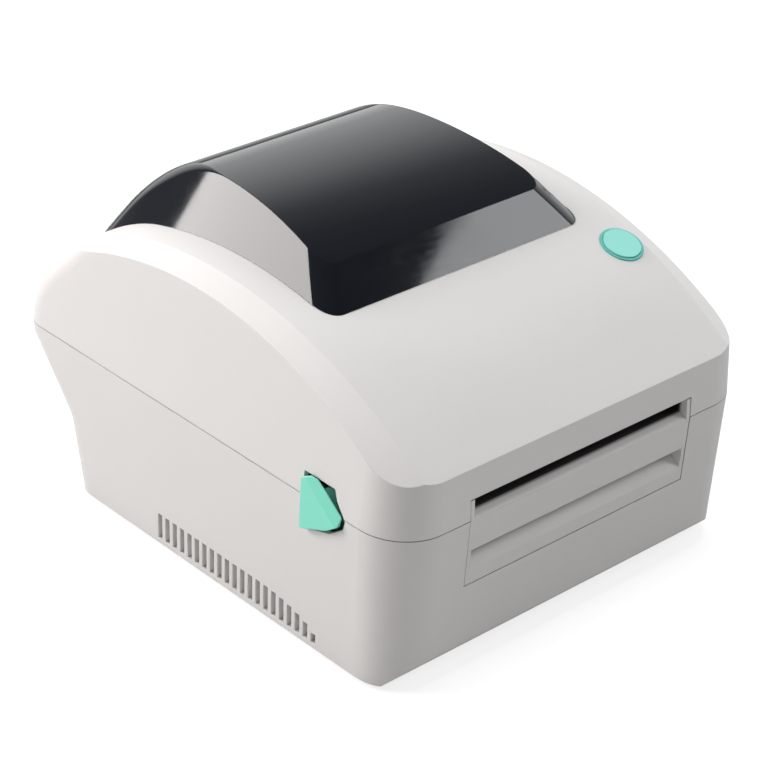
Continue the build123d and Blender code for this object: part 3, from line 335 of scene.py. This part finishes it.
def ceramic_finish(name):
    """Alumina strip with a glossy dark glaze line over the platen and gold tracks along it."""
    t = Finish(name)
    off = t.math("ABSOLUTE", t.math("SUBTRACT", t.along(1), middle_of("platen_rubber").y))
    glaze = t.span(off, 1.0, 0.0, GLAZE - BLUR, GLAZE + BLUR)
    stripes = t.math("SINE", t.math("MULTIPLY", t.along(0), 12000.0))
    tracks = t.span(stripes, 0.0, 1.0, 0.2, 0.3)
    body = t.blend(tracks, rgb(0.62, 0.58, 0.5), rgb(0.55, 0.38, 0.12))
    return t.shaded(
        Base_Color=t.blend(glaze, body, rgb(0.03, 0.025, 0.02)),
        Roughness=t.span(glaze, 0.35, 0.08),
        Metallic=t.math("MULTIPLY", tracks, 0.5),
        Normal=t.bump(stripes, 0.000004, edge=0.0002, strength=0.6),
    )


CASE_WHITE = (0.73, 0.714, 0.705)
MATERIALS = {
    "case_white": moulded("case_white", CASE_WHITE, rough=0.44),
    "tray_grey": moulded("tray_grey", (0.030, 0.030, 0.032), rough=0.5, grain=0.00003),
    "smoked": polished("smoked", (0.011, 0.013, 0.017)),
    "mint": moulded("mint", (0.245, 0.79, 0.62), rough=0.3, grain=0.000008),
    "mint_dark": moulded("mint_dark", (0.141, 0.578, 0.485), rough=0.3, grain=0.000008),
    "rubber_black": rubber("rubber_black", (0.018, 0.018, 0.019)),
    "steel": brushed("steel", (0.62, 0.62, 0.63)),
    "screw_steel": brushed("screw_steel", (0.55, 0.55, 0.56), along=2, rough=0.28),
    "gear_white": moulded("gear_white", (0.74, 0.73, 0.68), rough=0.38, grain=0.00001),
    "holder_grey": moulded("holder_grey", (0.045, 0.045, 0.048), rough=0.48, grain=0.00003),
    "sensor_black": moulded("sensor_black", (0.014, 0.014, 0.015), rough=0.4),
    "motor_case": motor_finish("motor_case"),
    "board_green": circuit_board("board_green"),
    "shield": brushed("shield", ALUMINIUM, along=1, rough=0.22),
    "ceramic": ceramic_finish("ceramic"),
    "sink": brushed("sink", (0.72, 0.73, 0.74), rough=0.35),
}


def dress_nodes():
    """Give every carried-over node the finish of its slot, and three of them one of their own."""
    slots = {part["node"]: part["material_slot"] for part in frame["record"]["subparts"]}
    own = {
        "board_parts": parts_finish("board_parts_finish"),
        # The front panel paints the insides of its slots black, as shade.
        "front_panel": moulded("panel_white_slot_shade", CASE_WHITE, rough=0.44, inner=slot_shade_mask),
        "feed_button": moulded("mint_light", (0.33, 0.79, 0.71), rough=0.3, grain=0.000008),
    }
    for node, item in NODES.items():
        item.data.materials.clear()
        item.data.materials.append(own.get(node) or MATERIALS[slots[node]])


dress_nodes()


# ---------------------------------------------------------------- window
# Points in two dimensions are (y, z) in the middle plane. Arcs run about axes along X.
FRONT = cad_box[0].y
BACK = cad_box[1].y
CROWN = Vector((0.008, -0.072))      # the case's top: an arc about this axis
CROWN_R = 0.205
CROWN_END = BACK - 0.056             # where a second arc leads on down to the shoulder
SHOULDER = Vector((BACK - 0.012, 0.101))
SHOULDER_STEPS = 32
BACK_RUN = 0.024
TOP_R = 0.190                        # the window's own top
TOP = Vector((BACK - 0.083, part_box("window")[1].z - TOP_R))
TOP_END = BACK - 0.066               # where it turns down to the foot of its back
BACK_END = Vector((BACK - 0.022, 0.118))
FOOT_RUN = 0.030
TOP_STEPS = 40
FOOT_STEPS = 24
RUN_STEPS = 12                       # on the straight end of either outline
RIDGE = FRONT + 0.088                # front end of the top, and the foot of the slope before it
SLOPE_FOOT = FRONT + 0.074
HALF_WIDTH = 0.070                   # where the flanks, which lean in, meet the case's top
LEAN = math.radians(40.6)
CORNER_R = 0.013                     # between a flank and the slope
CORNER_STEPS = 12
CORNER_FAN = 0.045                   # stretch of the flank whose lines lean towards the corner
RIDGE_R = 0.00002                    # along a flank's upper edge, in front and at the back
REAR_R = 0.013
REAR_START = BACK - 0.078            # the rounding grows from here to there
REAR_END = BACK - 0.036
RIDGE_STEPS = 6
FLANK_STEPS = 10
SUNK = 0.0024                        # depth of the skin's rim below the case's surface
RIM_GAP = 0.0001
WALL = 0.0013                        # faces of the solid nearer than this to its outer form are its skin
NEAREST = 0.0005                     # least distance between two lines over the top
RUN_UP = 0.030                       # limits of the search for the ends of a corner's lines
RUN_DOWN = 0.060
HALVINGS = 40
TINY = 1e-6


def on_arc(centre, radius, y):
    return Vector((y, centre.y + math.sqrt(radius**2 - (y - centre.x) ** 2)))


def out_from(centre, point):
    return (point - centre).normalized()


def across(point_x, flat):
    """Point or direction in space from its x and its (y, z)."""
    return Vector((point_x, flat.x, flat.y))


def arc_on(centre, radius, y, end, steps):
    """Points and outward normals of the arc that carries on from another one, at y, and ends at end."""
    start = on_arc(centre, radius, y)
    slope = (y - centre.x) / radius
    inward = Vector((-slope, -math.sqrt(1 - slope**2)))
    chord = end - start
    bend = chord.length_squared / (2 * chord.dot(inward))
    middle = start + inward * bend
    first, last = (math.atan2(p.y - middle.y, p.x - middle.x) for p in (start, end))
    out = []
    for k in range(steps + 1):
        turn = first + (last - first) * k / steps
        normal = Vector((math.cos(turn), math.sin(turn)))
        out.append((middle + normal * bend, normal))
    return out


def with_run(arc, length):
    """An arc with the straight line that goes on from its last point."""
    point, normal = arc[-1]
    way = Vector((normal.y, -normal.x))
    run = [(point + way * (length * k / RUN_STEPS), normal) for k in range(1, RUN_STEPS + 1)]
    return arc + run


def polar(point):
    """Angle and radius about the axis of the case's top."""
    out = point - CROWN
    return math.atan2(out.y, out.x), out.length


CASE_ARC = arc_on(CROWN, CROWN_R, CROWN_END, SHOULDER, SHOULDER_STEPS)
CASE = [polar(point) for point, _ in with_run(CASE_ARC, BACK_RUN)]


def case_radius(angle):
    """Radius of the case's outline at an angle."""
    if angle >= CASE[0][0]:
        return CROWN_R
    for (high, a), (low, b) in zip(CASE, CASE[1:]):
        if angle >= low:
            return a + (b - a) * (angle - high) / (low - high)
    return CASE[-1][1]


def flank_x(radius):
    return HALF_WIDTH - (radius - CROWN_R) * math.tan(LEAN)


def flank_normal(point):
    return across(math.cos(LEAN), out_from(CROWN, point) * math.sin(LEAN))


def turned_between(a, b, share):
    """Unit vector that has turned by a share of the way from a to b."""
    angle = a.angle(b)
    if angle < TINY:
        return a.copy()
    return (a * math.sin((1 - share) * angle) + b * math.sin(share * angle)) / math.sin(angle)


def top_profile():
    """Points and normals of the window's outline, from the foot of its back to the ridge in front."""
    rear = with_run(arc_on(TOP, TOP_R, TOP_END, BACK_END, FOOT_STEPS), FOOT_RUN)[::-1]
    for k in range(1, TOP_STEPS + 1):
        point = on_arc(TOP, TOP_R, TOP_END + (RIDGE - TOP_END) * k / TOP_STEPS)
        rear.append((point, (point - TOP) / TOP_R))
    return rear


PROFILE = top_profile()
RIDGE_POINT = on_arc(TOP, TOP_R, RIDGE)
SLOPE_WAY = out_from(on_arc(CROWN, CROWN_R, SLOPE_FOOT), RIDGE_POINT)     # up the slope in front
SLOPE_NORMAL = Vector((-SLOPE_WAY.y, SLOPE_WAY.x))


def corner_point(run, share):
    """Point and normal on the rounding between a flank (share 0) and the slope (share 1).

    The run goes up the slope from the ridge."""
    centre = RIDGE_POINT - SLOPE_NORMAL * CORNER_R + SLOPE_WAY * run
    x = flank_x((centre - CROWN).length) - CORNER_R / math.cos(LEAN)
    out = turned_between(flank_normal(centre), across(0.0, SLOPE_NORMAL), share)
    return across(x, centre) + out * CORNER_R, out


def corner_end(share, centre, radius, low, high):
    """The run at which a line of the rounding passes out of a circle, by halving."""
    for _ in range(HALVINGS):
        middle = (low + high) / 2
        if (corner_point(middle, share)[0].yz - centre).length > radius:
            high = middle
        else:
            low = middle
    return (low + high) / 2


def corner_lines():
    """Lines down the rounded corner, from the ridge to the rim."""
    lines = []
    for k in range(CORNER_STEPS + 1):
        share = k / CORNER_STEPS
        top = corner_end(share, TOP, TOP_R, -RUN_UP, RUN_UP)
        foot = corner_end(share, CROWN, CROWN_R - SUNK, -RUN_DOWN, top)
        runs = (top + (foot - top) * j / FLANK_STEPS for j in range(FLANK_STEPS + 1))
        lines.append([corner_point(run, share) for run in runs])
    return lines


def flank_line(start, lag):
    """Line down a flank from its upper edge, leaning forward by the angle lag."""
    angle, radius = polar(start.yz)
    foot = min(case_radius(angle + lag) - SUNK, radius)
    line = []
    for j in range(FLANK_STEPS + 1):
        turn = angle + lag * j / FLANK_STEPS
        reach = radius + (foot - radius) * j / FLANK_STEPS
        place = CROWN + Vector((math.cos(turn), math.sin(turn))) * reach
        line.append((across(flank_x(reach), place), flank_normal(place)))
    return line


def ridge_radius(y):
    """Radius of the edge along the top of a flank: sharp in front, rounded down the back."""
    share = min(max((y - REAR_START) / (REAR_END - REAR_START), 0.0), 1.0)
    return RIDGE_R + REAR_R * share**2 * (3 - 2 * share)


def ridge_line(point, out, rounding):
    """Points and normals round a flank's upper edge, from the top to the flank."""
    centre = point - out * rounding
    x = flank_x((centre - CROWN).length) - rounding / math.cos(LEAN)
    shares = (k / RIDGE_STEPS for k in range(RIDGE_STEPS + 1))
    turns = [turned_between(across(0.0, out), flank_normal(centre), share) for share in shares]
    return [(across(x, centre) + turn * rounding, turn) for turn in turns]


class Skin:
    """Vertices with their exact normals, and the faces between them."""

    def __init__(self):
        self.points = []
        self.normals = []
        self.faces = []

    def put(self, side, point, normal):
        self.points.append(Vector((side * point.x, point.y, point.z)))
        self.normals.append(Vector((side * normal.x, normal.y, normal.z)).normalized())

    def face(self, *corners):
        """A four-cornered face, turned outwards, unless it has no area."""
        a, b, c, d = (self.points[k] for k in corners)
        way = (c - a).cross(d - b)
        if way.length > TINY**2:
            outside = way.dot(self.normals[corners[0]] + self.normals[corners[2]]) > 0
            self.faces.append(corners if outside else corners[::-1])

    def sheets(self, rows):
        """The same sheet on both sides, through rows of points."""
        wide = len(rows[0])
        for side in (1, -1):
            base = len(self.points)
            for row in rows:
                for point, normal in row:
                    self.put(side, point, normal)
            for i in range(len(rows) - 1):
                for j in range(wide - 1):
                    at = base + i * wide + j
                    self.face(at, at + 1, at + wide + 1, at + wide)

    def bridge(self, row):
        """One strip across the middle, from each point to its mirror image."""
        base = len(self.points)
        for point, normal in row:
            for side in (1, -1):
                self.put(side, point, across(0.0, normal.yz))
        for at in range(base, len(self.points) - 2, 2):
            self.face(at, at + 1, at + 3, at + 2)


def window_skin():
    """The window's outside: top, upper edges, flanks, corners and the slope in front."""
    corner = corner_lines()
    first = corner[0][0][0]
    lag = polar(corner[0][-1][0].yz)[0] - polar(first.yz)[0]
    stations = [(point, out, ridge_radius(point.x)) for point, out in PROFILE if point.x > first.y + NEAREST]
    stations.append((first.yz, out_from(TOP, first.yz), 0.0))
    ridges, flanks, crest = [], [], []
    for point, out, rounding in stations:
        angle, radius = polar(point)
        if radius < case_radius(angle) - SUNK:
            continue
        ridge = ridge_line(point, out, rounding)
        near = max(0.0, 1 - abs(point.x - first.y) / CORNER_FAN)
        ridges.append(ridge)
        flanks.append(flank_line(ridge[-1][0], lag * near))
        crest.append((ridge[0][0], across(0.0, out)))
    for line in corner[1:]:
        point = line[0][0]
        crest.append((point, across(0.0, out_from(TOP, point.yz))))
    skin = Skin()
    for rows in (flanks, ridges, corner):
        skin.sheets(rows)
    skin.bridge(crest)
    skin.bridge(corner[-1])
    return skin


def height_over_form(point):
    """How far a point lies outside the window's outer form."""
    flat = point.yz
    top = max((flat - at).dot(out) for at, out in PROFILE)
    front = (flat - RIDGE_POINT).dot(SLOPE_NORMAL)
    flank = (abs(point.x) - flank_x((flat - CROWN).length)) * math.cos(LEAN)
    return max(top, front, flank)


def is_skin(face):
    middle = face.calc_center_median()
    angle, radius = polar(middle.yz)
    return radius > case_radius(angle) - SUNK + RIM_GAP and height_over_form(middle) > -WALL


def inner_faces(mesh):
    """The CAD window without its outer skin: the lip and the inside."""
    kept = bmesh.new()
    kept.from_mesh(mesh)
    bmesh.ops.delete(kept, geom=[face for face in kept.faces if is_skin(face)], context="FACES")
    inner = bpy.data.meshes.new("window_inner")
    kept.to_mesh(inner)
    kept.free()
    return inner


def smooth_window():
    """Window with an exactly smooth skin: mirror-like, so every facet of the CAD mesh would show."""
    inner = inner_faces(NODES["window"].data)
    skin = window_skin()
    count = len(inner.vertices)
    points = [vertex.co for vertex in inner.vertices] + skin.points
    faces = [list(polygon.vertices) for polygon in inner.polygons]
    faces += [[count + k for k in face] for face in skin.faces]
    normals = [tuple(corner.vector) for corner in inner.corner_normals]
    normals += [tuple(skin.normals[k]) for face in skin.faces for k in face]
    mesh = bpy.data.meshes.new("window_smooth")
    mesh.from_pydata(points, [], faces)
    mesh.shade_smooth()
    mesh.normals_split_custom_set(normals)
    mesh.materials.append(MATERIALS["smoked"])
    item = bpy.data.objects.new("window_smooth", mesh)
    bpy.context.scene.collection.objects.link(item)
    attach(item, "cover")
    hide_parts("window")


smooth_window()


# ---------------------------------------------------------------- stage
WARM = (1.0, 0.965, 0.945)
COOL = (0.97, 0.985, 1.0)
NEUTRAL = (1.0, 0.99, 0.98)
WHITE = rgb(1.0, 1.0, 1.0)
LENS = 123.03                        # both in millimetres
SENSOR = 36.0
CAMERA_PLACE = (-0.66860, -0.68080, 0.60261)
CAMERA_TURN = (60.0975, -2.8993, -42.9154)
AIM = Vector((0.0, 0.0, 0.08))       # the middle of the printer, where the soft boxes point
FLOOR_REACH = 6.0
FLOOR_GLOW = 0.76                    # brings the floor up to the white behind, for the camera alone
BACKDROP_WAY = (0.82, 0.57, 0.0)     # to the printer's rear right
BACKDROP_EDGE = (0.3, 0.6)           # start and end of its soft edge, as cosines of the angle from it
BACKDROP_SPAN = (0.12, 1.5)          # strength beside the backdrop and on it
BACKDROP_LEVELS = (                  # sine of the height in the sky, and the share of light there
    (0.31, 1.0),
    (0.45, 0.8),
    (0.52, 0.6),
    (0.62, 0.2),
    (0.70, 0.05),
    (0.76, 0.01),
)


def camera():
    data = bpy.data.cameras.new("camera")
    data.lens = LENS
    data.sensor_width = SENSOR
    data.clip_start = 0.05
    data.clip_end = 20.0
    item = bpy.data.objects.new("camera", data)
    item.location = CAMERA_PLACE
    item.rotation_euler = Euler([math.radians(turn) for turn in CAMERA_TURN], "XYZ")
    bpy.context.scene.collection.objects.link(item)
    bpy.context.scene.camera = item


def area_lamp(name, place, target, size, power, colour, mirrored):
    """Rectangular lamp; mirrored says whether glossy surfaces reflect it."""
    data = bpy.data.lights.new(name, "AREA")
    data.shape = "RECTANGLE"
    data.size, data.size_y = size
    data.energy = power
    data.color = colour
    item = bpy.data.objects.new(name, data)
    item.location = place
    item.rotation_euler = (Vector(target) - Vector(place)).to_track_quat("-Z", "Y").to_euler()
    item.visible_glossy = mirrored
    bpy.context.scene.collection.objects.link(item)


def softbox(name, azimuth, elevation, far, size, radiance, colour, mirrored=True):
    """Lamp that faces the printer from a direction in degrees, as bright as its radiance."""
    flat = math.radians(azimuth)
    rise = math.radians(elevation)
    way = Vector((math.cos(flat) * math.cos(rise), math.sin(flat) * math.cos(rise), math.sin(rise)))
    power = radiance * math.pi * size[0] * size[1]
    area_lamp(name, AIM + way * far, AIM, size, power, colour, mirrored)


def floor():
    """Grey floor that takes the shadow. The camera sees it darker, with a glow added."""
    mesh = bpy.data.meshes.new("floor")
    corners = [(x * FLOOR_REACH, y * FLOOR_REACH, 0) for x, y in ((-1, -1), (1, -1), (1, 1), (-1, 1))]
    mesh.from_pydata(corners, [], [(0, 1, 2, 3)])
    item = bpy.data.objects.new("floor", mesh)
    bpy.context.scene.collection.objects.link(item)
    t = Finish("floor")
    looked_at = t.add("ShaderNodeLightPath").outputs["Is Camera Ray"]
    finish = t.shaded(
        Base_Color=t.blend(looked_at, rgb(0.5, 0.5, 0.5), rgb(0.35, 0.35, 0.35)),
        Roughness=0.9,
        Emission_Color=WHITE,
        Emission_Strength=t.math("MULTIPLY", looked_at, FLOOR_GLOW),
    )
    item.data.materials.append(finish)


def world():
    """White behind the printer for the camera. Light and reflections see a backdrop to its rear right."""
    surroundings = bpy.data.worlds.new("world")
    surroundings.use_nodes = True
    bpy.context.scene.world = surroundings
    t = Tree(surroundings.node_tree)
    direction = t.add("ShaderNodeTexCoord").outputs["Generated"]
    fall = t.add("ShaderNodeValToRGB")
    t.link(t.part(direction, "Z"), fall.inputs["Fac"])
    stops = fall.color_ramp.elements
    stops[0].position = BACKDROP_LEVELS[0][0]
    stops[1].position = BACKDROP_LEVELS[-1][0]
    for place, _ in BACKDROP_LEVELS[1:-1]:
        stops.new(place)
    for stop, (_, level) in zip(stops, BACKDROP_LEVELS):
        stop.color = rgb(level, level, level)
    rear = t.add("ShaderNodeVectorMath", operation="DOT_PRODUCT")
    t.put(rear.inputs[0], direction)
    t.put(rear.inputs[1], BACKDROP_WAY)
    side = t.span(rear.outputs["Value"], *BACKDROP_SPAN, *BACKDROP_EDGE, curve="SMOOTHSTEP")
    looked_at = t.add("ShaderNodeLightPath").outputs["Is Camera Ray"]
    seen = t.add("ShaderNodeMix")
    t.fill(seen, A=t.math("MULTIPLY", fall.outputs["Color"], side), B=1.0, Factor=looked_at)
    t.fill(t.tree.nodes["Background"], Color=WHITE, Strength=seen.outputs["Result"])


camera()
floor()
world()
softbox("key", azimuth=133.0, elevation=29.0, far=1.5, size=(0.9, 0.75), radiance=11.0, colour=WARM)
softbox("fill", azimuth=-36.0, elevation=29.5, far=1.6, size=(0.5, 0.62), radiance=5.5, colour=COOL)
softbox("front_soft", -130.0, 28.0, 1.8, (0.9, 0.7), 2.6, NEUTRAL, mirrored=False)
area_lamp("ceiling", (0.1, 0.0, 1.9), (0.0, 0.0, 0.1), (0.7, 0.7), power=17.0, colour=COOL, mirrored=False)
bpy.context.scene.view_settings.view_transform = "Standard"
